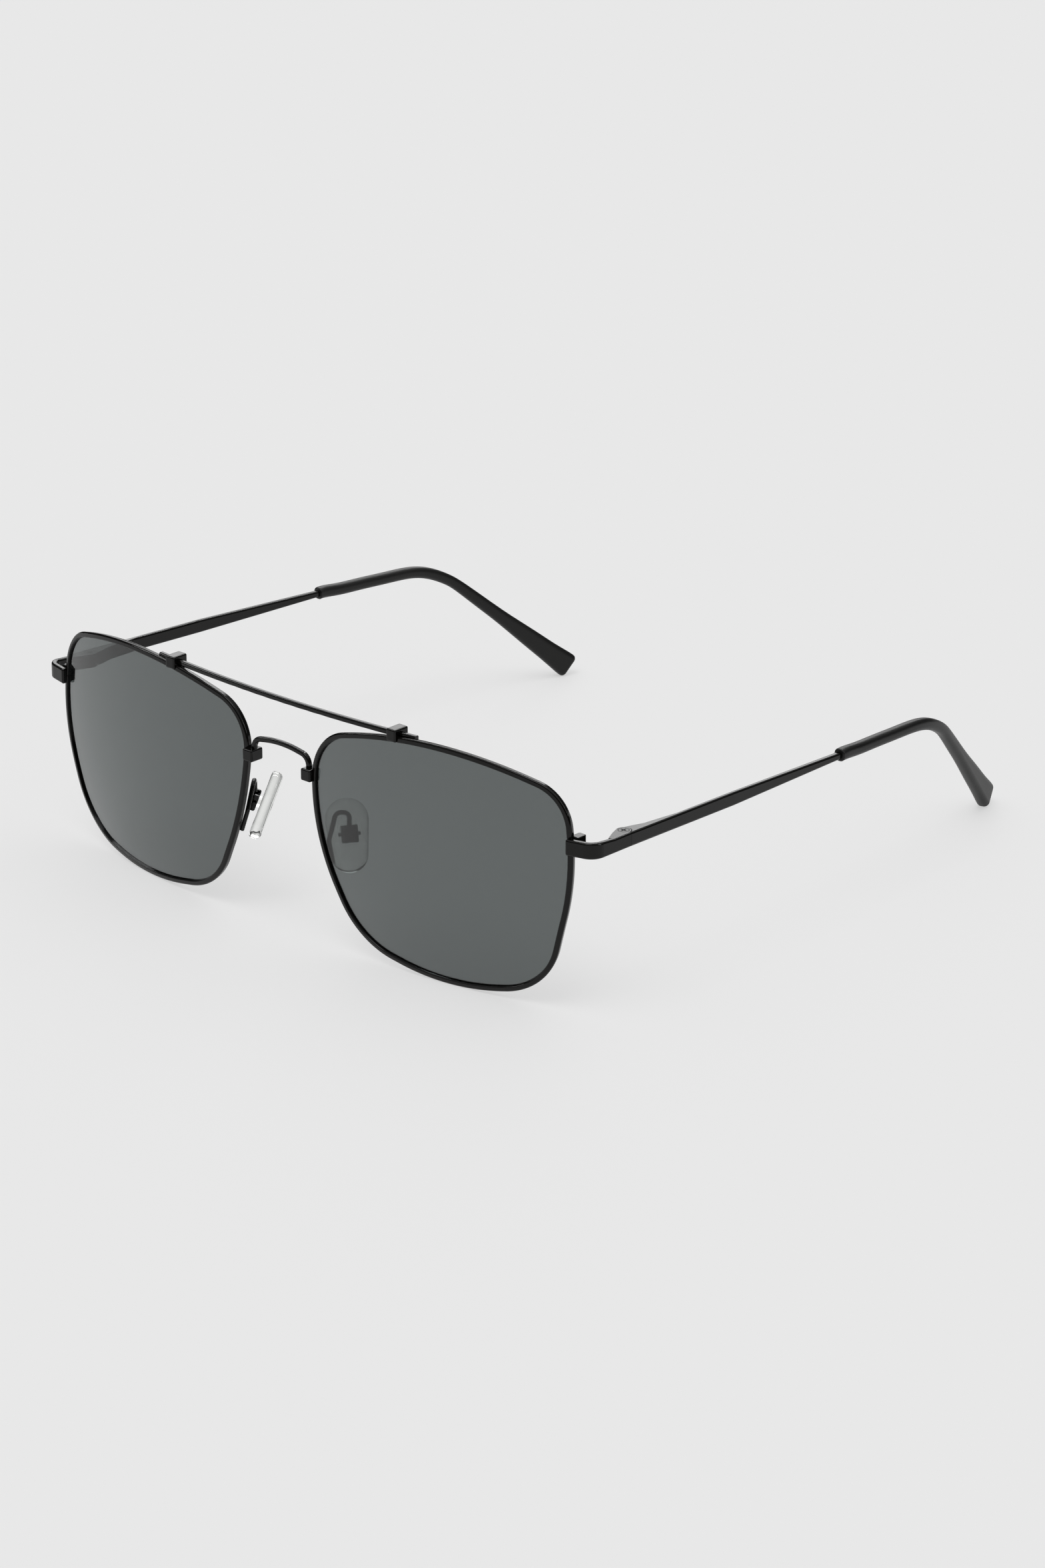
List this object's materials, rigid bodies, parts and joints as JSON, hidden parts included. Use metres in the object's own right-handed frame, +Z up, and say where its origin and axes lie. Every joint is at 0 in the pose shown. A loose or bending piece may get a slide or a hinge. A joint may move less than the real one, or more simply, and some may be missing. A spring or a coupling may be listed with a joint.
{
  "type": "sunglasses",
  "caption": "Metal navigator sunglasses with a double bridge, tinted lenses, folding temples with plastic tips and rocking nose pads, standing open.",
  "frame": {"origin": "bottom centre of the whole object, on the plane it stands on", "axes": "+Z up, -Y the way the lenses face, +X towards the wearer's left; the temples run towards +Y"},
  "size_m": [0.1394, 0.1404, 0.0466],
  "materials": {
    "frame_black": "gloss",
    "screw_black": "satin",
    "lens_tint": "polished",
    "sleeve_black": "matte",
    "pad_clear": "clear"
  },
  "bodies": {
    "front": {"brow_bar": "frame_black", "bridge_wire": "frame_black", "lens_left": "lens_tint", "lens_right": "lens_tint", "rim_left": "frame_black", "rim_right": "frame_black", "brow_clip_left": "frame_black", "brow_clip_right": "frame_black", "bridge_block_left": "frame_black", "bridge_block_right": "frame_black", "endpiece_left": "frame_black", "endpiece_right": "frame_black", "rim_lock_lower_left": "frame_black", "rim_lock_lower_right": "frame_black", "rim_lock_upper_left": "frame_black", "rim_lock_upper_right": "frame_black", "rim_lock_screw_left": "screw_black", "rim_lock_screw_right": "screw_black", "hinge_screw_left": "screw_black", "hinge_screw_right": "screw_black", "pad_box_left": "frame_black", "pad_box_right": "frame_black", "pad_arm_left": "frame_black", "pad_arm_right": "frame_black", "pad_screw_left": "screw_black", "pad_screw_right": "screw_black"},
    "temple_left": {"temple_bar_left": "frame_black", "temple_tip_left": "sleeve_black"},
    "temple_right": {"temple_bar_right": "frame_black", "temple_tip_right": "sleeve_black"},
    "pad_left": {"nose_pad_left": "pad_clear"},
    "pad_right": {"nose_pad_right": "pad_clear"}
  },
  "joints": [
    {"name": "temple_fold_left", "type": "hinge", "parent": "front", "child": "temple_left", "pos_m": [0.06782, -0.05239, 0.03207], "axis": [0, 0, 1], "range_deg": [0, 86]},
    {"name": "temple_fold_right", "type": "hinge", "parent": "front", "child": "temple_right", "pos_m": [-0.06782, -0.05239, 0.03207], "axis": [0, 0, -1], "range_deg": [0, 82]},
    {"name": "pad_rock_left", "type": "hinge", "parent": "front", "child": "pad_left", "pos_m": [0.01221, -0.06356, 0.02106], "axis": [-0.5925, -0.8052, -0.0233], "range_deg": [-8, 8]},
    {"name": "pad_rock_right", "type": "hinge", "parent": "front", "child": "pad_right", "pos_m": [-0.01221, -0.06356, 0.02106], "axis": [-0.5925, 0.8052, 0.0233], "range_deg": [-8, 8]}
  ]
}
